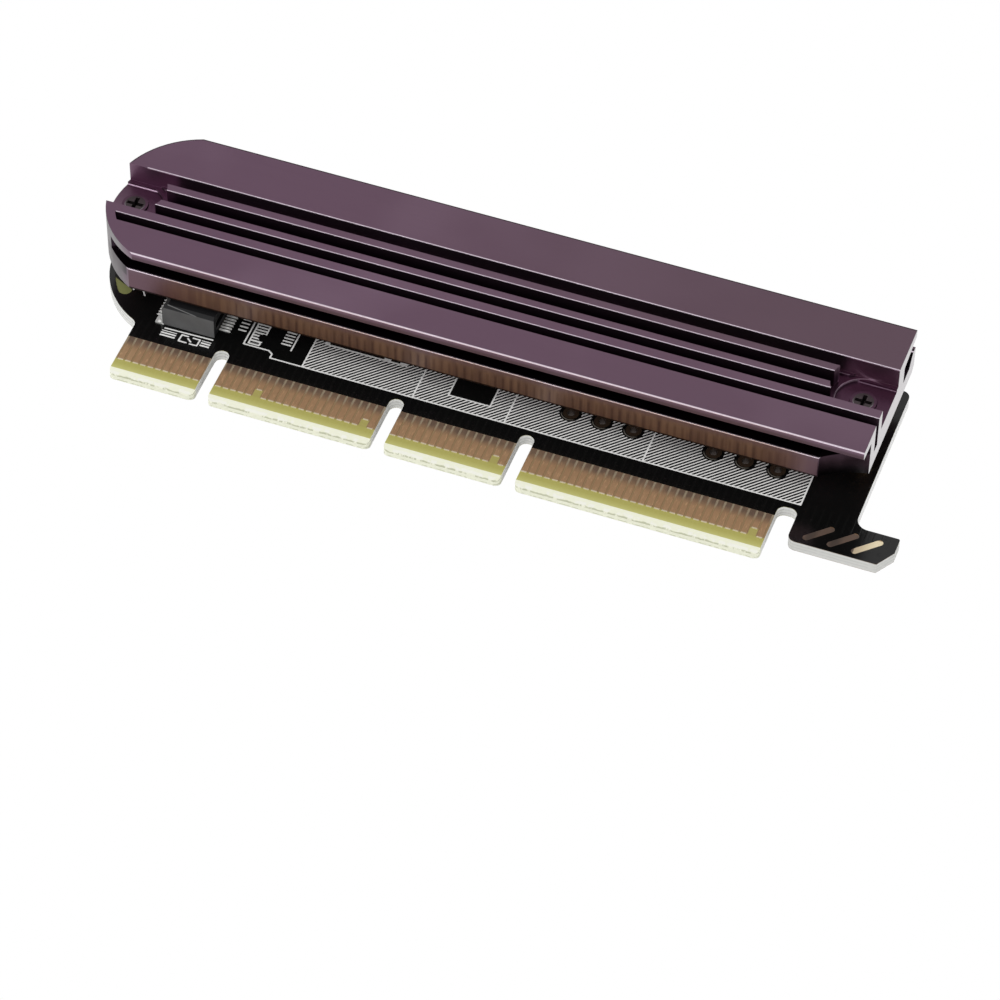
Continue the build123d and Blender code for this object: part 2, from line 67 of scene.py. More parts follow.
class Wire:
    def __init__(self, shader, socket):
        self.shader = shader
        self.socket = socket

    def math(self, operation, *others):
        return self.shader.node("ShaderNodeMath", 0, {"operation": operation}, self, *others)

    def __add__(self, other):
        return self.math("ADD", other)

    __radd__ = __add__

    def __sub__(self, other):
        return self.math("SUBTRACT", other)

    def __rsub__(self, other):
        return self.shader.node("ShaderNodeMath", 0, {"operation": "SUBTRACT"}, other, self)

    def __mul__(self, other):
        return self.math("MULTIPLY", other)

    __rmul__ = __mul__

    def __truediv__(self, other):
        return self.math("DIVIDE", other)

    def __abs__(self):
        return self.math("ABSOLUTE")

    def __and__(self, other):
        return self.math("MINIMUM", other)

    def __or__(self, other):
        return self.math("MAXIMUM", other)

    def ramp(self, edge, soft, first, last):
        span = (edge - soft, edge + soft, first, last)
        return self.shader.node("ShaderNodeMapRange", 0, {"interpolation_type": "SMOOTHSTEP"}, self, *span)

    def above(self, edge, soft):
        return self.ramp(edge, soft, 0.0, 1.0)

    def below(self, edge, soft):
        return self.ramp(edge, soft, 1.0, 0.0)

    def between(self, low, high, soft):
        return self.above(low, soft) & self.below(high, soft)

    def every(self, pitch, start=0.0):  # distance to the nearest of evenly spaced places
        return abs(((self - start) / pitch + 0.5).math("FRACT") - 0.5) * pitch


class Shader:
    def __init__(self, name, **constants):
        self.material = bpy.data.materials.new(name)
        self.material.use_nodes = True
        self.tree = self.material.node_tree
        self.surface = self.tree.nodes["Principled BSDF"]
        point = self.node("ShaderNodeTexCoord", "Object")
        self.point = self.node("ShaderNodeVectorMath", 0, {"operation": "SCALE"}, point, Scale=1000.0)
        self.x, self.y, self.z = self.node("ShaderNodeSeparateXYZ", (0, 1, 2), {}, self.point)
        for key, value in constants.items():
            self.surface.inputs[key.replace("_", " ")].default_value = value

    def feed(self, socket, value):
        if isinstance(value, Wire):
            self.tree.links.new(value.socket, socket)
        elif isinstance(value, tuple) and len(value) == 3 and len(socket.default_value) == 4:
            socket.default_value = value + (1.0,)
        else:
            socket.default_value = value

    def node(self, kind, out, settings=None, *values, **named):
        node = self.tree.nodes.new(kind)
        for key, value in (settings or {}).items():
            setattr(node, key, value)
        for socket, value in zip(node.inputs, values):
            self.feed(socket, value)
        for key, value in named.items():
            self.feed(node.inputs[key], value)
        if isinstance(out, tuple):
            return [Wire(self, node.outputs[i]) for i in out]
        return Wire(self, node.outputs[out])

    def noise(self, scale, detail=2.0, stretch=(1.0, 1.0, 1.0)):
        place = self.node("ShaderNodeVectorMath", 0, {"operation": "MULTIPLY"}, self.point, stretch)
        return self.node("ShaderNodeTexNoise", 0, {}, place, Scale=scale, Detail=detail, Roughness=0.55)

    def mix(self, first, second, factor):
        node = self.tree.nodes.new("ShaderNodeMix")
        node.data_type = "RGBA"
        for index, value in ((0, factor), (6, first), (7, second)):
            self.feed(node.inputs[index], value)
        return Wire(self, node.outputs[2])

    def reach(self, first, second):
        return (first.math("POWER", 2.0) + second.math("POWER", 2.0)).math("SQRT")

    def ring(self, centre):  # distance from an upright line
        return self.reach(self.x - centre[0], self.y - centre[1])

    def edge(self, y, z, width):  # a line that runs along the card
        return self.reach(self.y - y, self.z - z).below(width, 0.04)

    def ply(self, height, wander, width, soft):  # a wavy layer that shows on a cut side
        return abs(self.z - height - wander).below(width, soft)

    def stroke(self, start, end, width, soft=0.03):  # a printed line with round ends
        run = (end[0] - start[0], end[1] - start[1])
        length = math.hypot(*run)
        along = (self.x - start[0]) * (run[0] / length) + (self.y - start[1]) * (run[1] / length)
        across = abs((self.x - start[0]) * (-run[1] / length) + (self.y - start[1]) * (run[0] / length))
        past = abs(along - length / 2) - length / 2
        return self.reach(past | 0.0, across).below(width / 2, soft)

    def bump(self, height, strength, distance):
        return self.node("ShaderNodeBump", 0, {}, Strength=strength, Distance=distance, Height=height)

    def finish(self, **wires):
        for key, value in wires.items():
            self.feed(self.surface.inputs[key.replace("_", " ")], value)
        return self.material


def anyOf(masks):
    return reduce(Wire.__or__, masks)


def scaled(tone, share):
    return tuple(v * share for v in tone)


def rightHalf(s):
    return s.x.above(40.0, 1.0)


def shortColumns(s):  # the strips of board that the short contacts stand in
    return anyOf(s.x.between(x - 0.5, x + 0.5, 0.03) for x in shortContacts)


# Heat sink: tones of its finish, with painted shade, light, highlights and reflection, and the places
# where they change; floor, brim and top are above the board
sink = {
    "purple": ((0.215, 0.133, 0.190), (0.245, 0.153, 0.218)),
    "cloud": (0.195, 0.116, 0.170),
    "rightShade": (0.160, 0.104, 0.130),
    # painted shade in the grooves, the pockets and the side slots, and painted light at a pocket's mouth
    "groove": {"tone": (0.045, 0.018, 0.040), "y": (14.6, 24.0), "floor": 6.6, "brim": 10.6},
    "pocketShade": {"tones": ((0.110, 0.054, 0.090), (0.092, 0.043, 0.073)), "x": (-0.9, 85.5), "brim": 8.9},
    "pocketMouthLight": {"tone": (0.205, 0.125, 0.175), "at": (-5.2, 21.5)},
    "slotShade": {"tone": (0.012, 0.005, 0.012), "front": (10.22, 14.3), "back": (26.5, 30.9)},
    # flange face: painted reflection of the board and its contacts, paler at the top and darker at the
    # foot
    "flange": {"tones": ((0.205, 0.132, 0.100), (0.150, 0.094, 0.078)), "y": 10.05, "top": 8.1},
    "contactReflectionBars": {"tone": (0.085, 0.052, 0.047), "x": (12.5, 83.6), "z": 8.5},
    "flangeEnds": {"tone": (0.142, 0.083, 0.103), "x": (5.0, 84.0)},
    "flangeTop": (0.150, 0.096, 0.120),
    "flangeFoot": (0.012, 0.006, 0.005),
    "tip": (0.075, 0.046, 0.052),
    "scoop": {"tones": ((0.046, 0.027, 0.037), (0.006, 0.004, 0.005)), "x": 87.6, "y": (10.1, 13.0)},
    # painted highlight on the bevelled edges; the places of those edges follow
    "edgeBevelAndHighlight": (0.92, 0.79, 0.90),
    "rearLip": {"y": 30.4, "top": 8.45},
    "fins": ((15.65, -5.6, 0.11), (18.45, -9.0, 0.11), (21.25, -9.0, 0.11), (24.05, -4.9, 0.14)),
    "foot": {"y": 23.55, "z": (9.8, 10.47), "x": (-3.4, 88.2)},
    "cutter": {"radii": (3.42, 3.6), "z": (9.9, 10.3), "right": 90.5},
    "rearRimShade": {"tone": (0.050, 0.040, 0.043), "y": 24.3, "depth": 0.22},
    "leftArc": {"centre": (3.64, 20.32), "radius": 11.62},
    "sawnEnd": ((0.58, 0.56, 0.57), (0.72, 0.70, 0.71)),
    "milledEnd": ((0.24, 0.225, 0.235), (0.31, 0.295, 0.305)),
    "milledFoot": (0.175, 0.160, 0.168),
}


def paintDepthShade(s, purple):  # painted shade in the deep places: the grooves between the fins, the pockets and the side slots
    groove, pocketShade, slots = sink["groove"], sink["pocketShade"], sink["slotShade"]
    inside = s.y.between(*groove["y"], 0.05) & s.z.below(boardTop + groove["brim"], 0.9)
    inside = inside & s.z.above(boardTop + groove["floor"], 0.1)
    purple = s.mix(purple, groove["tone"], inside * 0.85)
    ends = s.x.below(pocketShade["x"][0], 0.5) | s.x.above(pocketShade["x"][1], 0.5)
    hollow = inside & s.z.below(boardTop + pocketShade["brim"], 0.1) & ends
    purple = s.mix(purple, s.mix(*pocketShade["tones"], rightHalf(s)), hollow)
    # painted light at the mouth of the left pocket
    mouthX, mouthY = sink["pocketMouthLight"]["at"]
    mouth = (hollow & s.x.below(mouthX, 2.2)) * s.y.below(mouthY, 3.5)
    purple = s.mix(purple, sink["pocketMouthLight"]["tone"], mouth)
    slot = s.y.between(*slots["front"], 0.05) | s.y.between(*slots["back"], 0.05)
    slot = slot & s.z.between(boardTop + groove["floor"], sinkTop - 1.25, 0.15)
    return s.mix(purple, slots["tone"], slot * 0.95)


def flangeReflection(s):  # painted reflection of the board: browner in the middle, with bars as even as the contacts before it
    bars, ends = sink["contactReflectionBars"], sink["flangeEnds"]
    streaks = s.noise(1.3, 3.0, (1.0, 0.0, 0.06)).above(0.5, 0.14)
    brown = s.mix(*sink["flange"]["tones"], streaks)
    reflectedBars = s.x.every(1.0).above(0.34, 0.1) & s.x.between(*bars["x"], 0.1) & s.z.below(bars["z"], 0.5)
    brown = s.mix(brown, bars["tone"], reflectedBars * (0.4 + streaks * 0.35))
    brown = s.mix(ends["tone"], brown, s.x.between(*ends["x"], 5.0))
    # the painted reflection turns paler purple towards the top, and the face is darker at its foot
    brown = s.mix(brown, sink["flangeTop"], s.z.above(boardTop + 7.4, 0.5) * 0.7)
    return s.mix(brown, sink["flangeFoot"], s.z.below(sinkLow[2] + 0.23, 0.07) * 0.9)


def edgeHighlights(s):  # painted highlights along the plates, the fins, the lips and the foot, and on an arc by the right pocket
    foot, cutter = sink["foot"], sink["cutter"]
    bright = s.edge(sinkLow[1], sinkTop, 0.14)
    bright = bright | s.edge(sink["flange"]["y"], boardTop + sink["flange"]["top"], 0.15)
    bright = bright | s.edge(sink["rearLip"]["y"], boardTop + sink["rearLip"]["top"], 0.12)
    for y, startX, width in sink["fins"]:
        bright = bright | (s.edge(y, sinkTop, width) & s.x.above(startX, 0.15))
    ends = s.x.below(foot["x"][0], 0.3) | s.x.above(foot["x"][1], 0.3)
    bright = bright | ((s.edge(foot["y"], foot["z"][0], 0.1) & ends) * (0.62 - rightHalf(s) * 0.42))
    bright = bright | (s.edge(foot["y"], foot["z"][1], 0.08) * 0.3)
    arc = s.ring((screwXs[1], centreY)).between(*cutter["radii"], 0.04)
    arc = arc & s.z.between(*cutter["z"], 0.05) & s.x.below(cutter["right"], 1.0)
    return bright | (arc * 0.35)


def anodisedShader():
    s = Shader("purpleAnodised", Metallic=1.0)
    drawn = s.noise(3.0, 3.0, (0.02, 1.0, 1.0))
    fine = s.noise(9.0, 2.0)
    cloud = s.noise(0.05, 2.0)
    purple = s.mix(*sink["purple"], drawn)
    purple = s.mix(purple, sink["cloud"], cloud.between(0.45, 0.75, 0.12))
    purple = s.mix(purple, sink["rightShade"], s.x.above(42.0, 45.0) * (s.y.above(20.0, 4.0) * 0.55 + 0.3))
    purple = paintDepthShade(s, purple)
    # painted reflection of the board on the flange face
    face = s.y.below(sink["flange"]["y"] + 0.03, 0.02) & s.z.below(sinkTop - 2.5, 0.3)
    purple = s.mix(purple, flangeReflection(s), face)
    tip = s.y.below(sinkLow[1] + 0.03, 0.02) & s.z.between(sinkTop - 1.3, sinkTop - 0.5, 0.35)
    purple = s.mix(purple, sink["tip"], tip * 0.75)
    # painted shade: the scoop at the right end goes black towards the board
    scoop = s.x.above(sink["scoop"]["x"], 0.05) & s.y.between(*sink["scoop"]["y"], 0.05)
    scoop = scoop & s.z.below(boardTop + 8.2, 0.05)
    purple = s.mix(purple, s.mix(*sink["scoop"]["tones"], s.z.below(7.2, 0.9)), scoop)
    # painted highlights along the edges
    purple = s.mix(purple, sink["edgeBevelAndHighlight"], edgeHighlights(s) * 0.95)
    # painted shade on the rear rim of the back plate, which follows the arc of the left end
    arc, radius = s.ring(sink["leftArc"]["centre"]), sink["leftArc"]["radius"]
    rim = s.y.above(sinkHigh[1] - 0.17, 0.03) | (arc.above(radius - 0.15, 0.03) & s.x.below(3.5, 0.1))
    rim = rim & s.y.above(sink["rearRimShade"]["y"], 0.05) & s.z.above(sinkTop - sink["rearRimShade"]["depth"], 0.02)
    purple = s.mix(purple, sink["rearRimShade"]["tone"], rim * 0.85)
    # sawn right end, and a milled left end that blends to purple at its corners
    right = s.x.above(sinkHigh[0] - 0.03, 0.01)
    left = (arc.above(radius - 0.03, 0.01) & s.x.below(3.0, 0.05)) * s.x.below(-2.3, 1.7)
    marks = s.noise(1.2, 4.0, (1.0, 1.0, 14.0))
    purple = s.mix(purple, s.mix(*sink["sawnEnd"], marks), right)
    milled = s.mix(s.mix(*sink["milledEnd"], marks), sink["milledFoot"], s.z.below(boardTop + 8.3, 0.1))
    purple = s.mix(purple, milled, left)
    cut = right | left
    relief = drawn * 0.5 + fine * 0.3 + marks * cut
    return s.finish(
        Base_Color=purple,
        Roughness=0.31 + fine * 0.08 + drawn * 0.06 + cut * 0.1,
        Normal=s.bump(relief, 0.12, 0.00004),
    )


# Board: bare laminate, cut sides, the bevel of the card edge and the black coating, with painted shade and
# light on the cut sides and painted highlights by the side holes
board = {
    "laminate": ((0.50, 0.47, 0.12), (0.60, 0.57, 0.17)),
    "laminateBack": (0.46, 0.42, 0.11),
    "laminateCells": (0.60, 0.57, 0.26),
    "laminateFront": (0.72, 0.70, 0.28),
    "cellPitch": 0.55,
    "gaps": ((0.31, 0.195, 0.105), (0.40, 0.255, 0.14)),
    "gapEnds": (0.36, 0.29, 0.20),
    "bareBand": {"tone": (0.24, 0.25, 0.09), "x": -1.5},
    "bandShade": (0.004, 0.004, 0.004),
    "bevel": ((0.93, 0.95, 0.72), (1.0, 1.0, 0.86)),
    "bevelBlobs": (1.0, 1.0, 0.90),
    "bevelPlies": (0.48, 0.50, 0.33),
    "bevelFoot": (0.60, 0.61, 0.52),
    "sawn": ((0.78, 0.78, 0.76), (0.92, 0.92, 0.90)),
    "sawnPlies": (0.46, 0.46, 0.43),
    "sawnShade": (0.62, 0.62, 0.59),
    # painted light on the right cut side
    "sawnRightLight": (1.0, 1.0, 1.0),
    "hookX": 84.5,
    "coating": ((0.0035, 0.0035, 0.0035), (0.008, 0.008, 0.0075)),
    # painted highlight beside each side hole
    "crescentHighlight": (0.22, 0.20, 0.17),
    "ink": (1.0, 1.0, 0.98),
    "matt": 0.55,
    "glossy": 0.2,
}

# White print: a hatched field with dividers, a drawing of the drive's end, outlines and tick marks
artwork = {
    "lineWidth": 0.2,
    "field": {"x": (21.45, 86.07), "y": (9.15, 14.5)},
    "hatch": {"pitch": 0.6, "start": 0.275, "half": 0.128},
    "dividers": (36.0, 48.0, 65.9),
    "window": {"x": (40.05, 45.5), "y": 11.1},
    "slit": {"x": (23.2, 33.6), "y": 13.65},
    "blocks": {"x": ((22.7, 23.3), (30.5, 31.4), (32.6, 33.6)), "y": (13.7, 14.28)},
    "rings": {"shift": -0.04, "y": 13.55, "clear": 1.4, "crescentHighlight": (1.08, 1.2)},
    "drive": {"x": (13.8, 15.3), "y": (10.8, 14.2), "start": 14.06, "pitch": 0.48, "half": 0.13},
    "driveNotch": {"at": (15.2, 12.0), "radius": 0.62},
    "ticks": (
        {"x": (11.7, 12.8), "y": (12.1, 14.3), "start": 12.3, "pitch": 0.62, "half": 0.12},
        {"x": (17.6, 18.9), "y": (11.8, 14.4), "start": 11.95, "pitch": 0.52, "half": 0.12},
        {"x": (8.25, 9.5), "y": (7.95, 8.95), "start": 8.1, "pitch": 0.42, "half": 0.12},
        {"x": (2.9, 4.9), "y": (7.95, 8.95), "start": 8.1, "pitch": 0.42, "half": 0.12},
    ),
    "outlines": (
        ((13.25, 14.5), (13.25, 10.25), (16.6, 10.25), (17.2, 9.85), (17.2, 9.15), (86.07, 9.15)),
        ((13.75, 14.3), (13.75, 10.6), (15.15, 10.6), (15.15, 11.1)),
        ((15.35, 14.3), (15.35, 12.65)),
        ((19.2, 11.2), (19.2, 14.45)),
        ((3.15, 9.3), (9.45, 9.45)),
        ((6.4, 8.95), (5.55, 8.95), (5.5, 7.87), (6.5, 7.87)),
        ((7.1, 8.9), (8.0, 8.9), (7.95, 7.85), (7.0, 7.83)),
        ((6.5, 8.6), (7.0, 8.2)),
        ((-1.85, 14.2), (-1.42, 13.58)),
        ((-3.15, 14.1), (-3.1, 14.05)),
    ),
}


def laminateTone(s, weave):
    cell = s.x.every(board["cellPitch"]) & s.y.every(board["cellPitch"])
    tone = s.mix(*board["laminate"], weave)
    tone = s.mix(tone, board["laminateBack"], s.y.above(1.8, 0.7) * 0.5)
    tone = s.mix(tone, board["laminateCells"], cell.below(0.09, 0.05) * 0.1)
    tone = s.mix(tone, board["laminateFront"], s.y.below(1.3, 0.7) * 0.7)
    # darker gaps between the contacts, though less so before the short ones
    gaps = s.y.between(padFront + 0.15, maskEdge + 0.1, 0.12)
    gaps = gaps & (1.0 - (shortColumns(s) & s.y.below(shortFront + 0.1, 0.05)) * 0.8)
    tone = s.mix(tone, s.mix(*board["gaps"], weave), gaps * 0.95)
    tone = s.mix(tone, board["gapEnds"], s.y.above(5.3, 0.6) & s.y.below(maskEdge + 0.1, 0.02))
    # bare band along the left end, black behind a slanted line
    band = s.x.below(board["bareBand"]["x"], 0.1)
    tone = s.mix(tone, board["bareBand"]["tone"], band)
    slant = (s.y + (s.x + 6.0) * 0.45).above(15.2, 0.12)
    return s.mix(tone, board["bandShade"], band & slant)


def sideTone(s, weave):  # cream on the bevel, paler on the sawn sides, both with their plies; painted shade on the notch walls and the hook, painted light on the right side
    wander = s.noise(0.8, 2.0, (1.0, 0.0, 0.0)) * 0.2
    broken = s.noise(1.1, 3.0, (1.0, 0.5, 0.2))
    cream = s.mix(*board["bevel"], weave)
    cream = s.mix(cream, board["bevelBlobs"], s.ply(1.2, wander, 0.07, 0.04) & broken.below(0.5, 0.04))
    plies = s.ply(1.07, wander, 0.05, 0.03) & broken.above(0.45, 0.05)
    plies = plies | (s.ply(0.52, wander * 0.5, 0.05, 0.03) & broken.above(0.5, 0.05))
    cream = s.mix(cream, board["bevelPlies"], plies * 0.8)
    cream = s.mix(cream, board["bevelFoot"], s.z.below(0.42, 0.1) * 0.5)
    sawn = s.mix(*board["sawn"], weave)
    plies = s.ply(0.95, wander, 0.07, 0.05) | s.ply(0.4, wander * 1.5, 0.06, 0.05)
    sawn = s.mix(sawn, board["sawnPlies"], plies * (broken.above(0.42, 0.08) * 0.45 + 0.2))
    hook = s.x.above(board["hookX"], 0.1)
    shade = (s.y.between(3.0, 7.6, 0.2) | hook) * s.y.below(7.6, 0.2)
    sawn = s.mix(sawn, board["sawnShade"], shade * 0.6)
    # painted light on the right cut side
    sawn = s.mix(sawn, board["sawnRightLight"], s.x.above(92.9, 0.1) * s.y.above(8.4, 0.5))
    return s.mix(sawn, cream, s.y.below(1.3, 0.5) & s.x.below(board["hookX"], 0.1))


def hatching(s):  # the hatched field, clear round the side holes, and a painted highlight in a crescent beside each hole
    field, hatch, rings = artwork["field"], artwork["hatch"], artwork["rings"]
    lines = (s.y - s.x).every(hatch["pitch"], hatch["start"]).below(hatch["half"], 0.02)
    lines = lines & s.x.between(*field["x"], 0.02) & s.y.between(*field["y"], 0.02)
    window = s.x.between(*artwork["window"]["x"], 0.02) & s.y.above(artwork["window"]["y"], 0.02)
    slit = s.x.between(*artwork["slit"]["x"], 0.02) & s.y.above(artwork["slit"]["y"], 0.02)
    lines = lines & (1.0 - window) & (1.0 - slit)
    crescentHighlights = []
    for holeX in sideHoleXs:
        reach = s.ring((holeX + rings["shift"], rings["y"]))
        lines = lines & reach.above(rings["clear"], 0.03)
        near = (s.y + (s.x - holeX) * 0.35).below(12.75, 0.3)
        crescentHighlights.append(reach.between(*rings["crescentHighlight"], 0.05) & near)
    blocks = anyOf(s.x.between(*span, 0.03) for span in artwork["blocks"]["x"])
    blocks = blocks & s.y.between(*artwork["blocks"]["y"], 0.03)
    hatched = lines | (slit & s.y.below(artwork["slit"]["y"] + 0.25, 0.03)) | blocks
    return hatched, anyOf(crescentHighlights)


def printedLines(s):  # dividers, the frame of the window and every outline
    left, right = artwork["window"]["x"]
    front, back = artwork["field"]["y"]
    opening = artwork["window"]["y"]
    paths = [((x, front), (x, back)) for x in artwork["field"]["x"] + artwork["dividers"]]
    paths += [((left, back), (left, opening), (right, opening), (right, back)), *artwork["outlines"]]
    steps = [step for path in paths for step in zip(path[:-1], path[1:])]
    return anyOf(s.stroke(start, end, artwork["lineWidth"]) for start, end in steps)


def rungs(s, x, y, start, pitch, half):
    return s.y.every(pitch, start).below(half, 0.03) & s.x.between(*x, 0.03) & s.y.between(*y, 0.02)


def boardShader():
    s = Shader("boardCoating", Specular_IOR_Level=0.35)
    top = s.z.above(boardTop - 0.02, 0.004)
    face = top | s.z.below(0.02, 0.004)
    side = s.z.between(0.05, boardTop - 0.05, 0.004)
    weave = s.noise(2.4, 2.0, (1.0, 3.0, 6.0))
    bare = s.mix(laminateTone(s, weave), sideTone(s, weave), side)
    # coating with the faint relief of the tracks and vias below it
    cloth = s.noise(1.6, 2.0)
    tracks = s.x.every(1.0).below(0.13, 0.05) & s.y.between(maskEdge, 9.6, 0.6)
    slanted = abs(s.x - s.y * 0.6).every(2.0).below(0.1, 0.05)
    tracks = tracks | (slanted & s.y.between(14.5, 31.0, 0.3) & s.x.above(12.0, 0.5))
    vias = s.reach(s.x.every(3.1, 1.2), s.y.every(2.7, 7.6)).below(0.22, 0.04) & s.x.above(12.0, 0.2)
    coating = s.mix(*board["coating"], cloth * 0.5 + tracks * 0.4)
    # print on the top face
    hatched, crescentHighlight = hatching(s)
    notch = artwork["driveNotch"]
    drive = rungs(s, **artwork["drive"]) & s.ring(notch["at"]).above(notch["radius"], 0.03)
    ticks = anyOf(rungs(s, **facts) for facts in artwork["ticks"])
    ink = (hatched | printedLines(s) | drive | ticks) & top
    # painted highlight in the crescents by the side holes, under the white print
    printed = s.mix(s.mix(coating, board["crescentHighlight"], crescentHighlight), board["ink"], ink)
    relief = tracks * 0.8 + vias * 0.7 + ink * 0.5 + cloth * 0.12
    return s.finish(
        Base_Color=s.mix(bare, printed, face),
        Roughness=board["matt"] - (face & (1.0 - ink * 0.8)) * (board["matt"] - board["glossy"]),
        Normal=s.bump(relief * face + weave * 0.3, 0.35, 0.00003),
    )


# Gold: two platings, the contacts of the card edge, the bars of the hook and the rings of the side holes
gold = {
    "plate": {"low": (0.50, 0.30, 0.16), "high": (0.62, 0.40, 0.22), "rough": 0.36},
    "strip": {"low": (0.50, 0.40, 0.24), "high": (0.66, 0.56, 0.36), "rough": 0.25},
    # painted reflection of the heat sink on the contacts, and a painted highlight at their front ends
    "contactBackReflection": {"tones": ((0.27, 0.185, 0.13), (0.20, 0.14, 0.10)), "y": 5.2, "right": 83.8},
    "contactFrontHighlight": (0.95, 0.86, 0.62),
    "hookBars": {"tones": ((0.22, 0.150, 0.115), (0.13, 0.098, 0.080)), "x": 85.0, "y": 7.0},
    "brightBar": {"tones": ((0.70, 0.56, 0.38), (1.0, 0.86, 0.58)), "x": 94.2},
    "tinnedTails": (0.95, 0.95, 0.93),
    "sideHoles": {"x": (54.0, 83.0), "y": (12.4, 14.8)},
    # painted shade on the rings of the side holes and inside them
    "holeRingShade": ((0.085, 0.047, 0.031), (0.058, 0.042, 0.022)),
    "holeInsideShade": (0.045, 0.026, 0.018),
}


def goldShader(name, low, high, rough):
    s = Shader(name, Metallic=1.0)
    wash = s.noise(0.9, 3.0, (1.0, 0.35, 1.0))
    wear = s.noise(5.0, 3.0, (1.0, 0.2, 1.0))
    tone = s.mix(low, high, wash)
    tone = s.mix(tone, scaled(high, 1.35), wear.above(0.62, 0.05) * 0.6)
    # contacts: painted reflection of the heat sink makes them darker towards the coating, and a painted
    # highlight gives a bright front end
    back = gold["contactBackReflection"]
    flat = s.z.below(boardTop + 0.02, 0.005)
    contact = flat & s.x.below(back["right"], 0.1)
    tone = s.mix(tone, s.mix(*back["tones"], wash), (contact & s.y.above(back["y"], 0.85)) * (wash + 0.45))
    front = s.y.between(padFront - 0.02, padFront + 0.2, 0.03)
    front = front | (s.y.between(shortFront - 0.02, shortFront + 0.2, 0.03) & shortColumns(s))
    tone = s.mix(tone, gold["contactFrontHighlight"], flat & front)
    # bars of the hook: two dull ones and a bright one
    hook, bright = gold["hookBars"], gold["brightBar"]
    bars = s.y.below(hook["y"], 0.1) & s.x.above(hook["x"], 0.1)
    brightBar = bars & s.x.above(bright["x"], 0.1)
    tone = s.mix(tone, s.mix(*hook["tones"], s.x.every(3.04, 90.2).above(0.9, 0.5)), bars)
    tone = s.mix(tone, s.mix(*bright["tones"], s.x.above(95.4, 1.2)), brightBar)
    # tinned tails outside the socket
    tails = s.x.below(socketLow[0], 0.02) | s.x.above(socketHigh[0] + 0.01, 0.02)
    tails = tails & s.z.between(boardTop + 0.02, boardTop + 0.4, 0.005)
    tone = s.mix(tone, gold["tinnedTails"], tails * 0.95)
    # rings of the side holes, darkened by painted shade and darker still inside
    holes = s.y.between(*gold["sideHoles"]["y"], 0.1) & s.x.between(*gold["sideHoles"]["x"], 0.1)
    tone = s.mix(tone, s.mix(*gold["holeRingShade"], wash), holes)
    tone = s.mix(tone, gold["holeInsideShade"], holes & s.z.below(boardTop - 0.02, 0.01))
    return s.finish(
        Base_Color=tone,
        Metallic=1.0 - (contact | holes) * 0.55 - bars * 0.5 - brightBar * 0.3 - tails * 0.8,
        Roughness=rough + wear * 0.12,
        Normal=s.bump(wear, 0.15, 0.00002),
    )


# Socket housing: black, with painted sheen that makes its ends greyer and a painted highlight as a thin
# pale line on the front side
housing = {
    "black": ((0.010, 0.010, 0.011), (0.017, 0.017, 0.018)),
    # painted sheen on the end faces and a painted highlight line on the front side
    "ends": {"tones": ((0.095, 0.095, 0.096), (0.15, 0.15, 0.152)), "top": 3.05},
    "paleSheenLine": {"tone": (0.16, 0.16, 0.16), "top": 3.45, "slope": 0.09, "x": (2.8, 7.2), "y": 10.2},
}


def plasticShader():
    s = Shader("mouldedBlack", Specular_IOR_Level=0.15)
    ends, pale = housing["ends"], housing["paleSheenLine"]
    grain = s.noise(4.0, 3.0)
    tone = s.mix(*housing["black"], grain)
    # painted sheen makes the end faces greyer
    outer = s.y.below(socketLow[1] + 0.04, 0.02) | s.y.above(socketHigh[1] - 0.04, 0.02)
    outer = outer & s.z.below(boardTop + ends["top"], 0.04)
    tone = s.mix(tone, s.mix(*ends["tones"], s.noise(0.5, 2.0)), outer)
    # painted highlight: a thin pale line on the front side
    sheenLine = abs(s.z - boardTop - pale["top"] + (s.x - 2.9) * pale["slope"]).below(0.035, 0.03)
    sheenLine = sheenLine & s.y.below(pale["y"], 0.02) & s.x.between(*pale["x"], 0.1)
    tone = s.mix(tone, pale["tone"], sheenLine)
    return s.finish(Base_Color=tone, Roughness=0.42 + grain * 0.12, Normal=s.bump(grain, 0.2, 0.00003))


# Screws: dark heads with a painted glint on the front of the rim, and the pockets' painted shade round
# them
screws = {
    "dark": ((0.062, 0.048, 0.053), (0.090, 0.072, 0.076)),
    "glint": {"tone": (0.30, 0.27, 0.29), "radii": (1.22, 1.32), "y": 20.2},
    # the pockets' painted shade round the heads
    "outer": {"tones": ((0.110, 0.056, 0.090), (0.092, 0.044, 0.074)), "radius": 1.3},
}


def screwShader():
    s = Shader("blackZinc", Metallic=0.9)
    glint, outer = screws["glint"], screws["outer"]
    grain = s.noise(3.0, 3.0)
    head = s.ring((screwXs[0], centreY)) & s.ring((screwXs[1], centreY))
    tone = s.mix(*screws["dark"], grain)
    tone = s.mix(tone, glint["tone"], head.between(*glint["radii"], 0.03) & s.y.below(glint["y"], 0.5))
    # painted shade of the pocket floor round the head
    tone = s.mix(tone, s.mix(*outer["tones"], rightHalf(s)), head.above(outer["radius"], 0.03))
    return s.finish(Base_Color=tone, Roughness=0.32 + grain * 0.12, Normal=s.bump(grain, 0.1, 0.00003))


# Plain finishes: name, low and high tone, roughness, scale of the grain, how metallic
plainFinishes = {
    "brass_posts": ("brassPost", (0.45, 0.30, 0.12), (0.55, 0.38, 0.17), 0.3, 2.0, 1.0),
    "tinned_metal": ("tinned", (0.74, 0.74, 0.72), (0.88, 0.88, 0.86), 0.34, 3.0, 0.35),
    "capacitor_ceramic": ("capacitorBody", (0.30, 0.20, 0.12), (0.38, 0.26, 0.17), 0.4, 5.0, 0.0),
    "resistor_glaze": ("resistorBody", (0.012, 0.012, 0.012), (0.02, 0.02, 0.02), 0.25, 4.0, 0.0),
    "capacitor_resin": ("capacitorResin", (0.50, 0.26, 0.04), (0.58, 0.33, 0.06), 0.4, 4.0, 0.0),
}


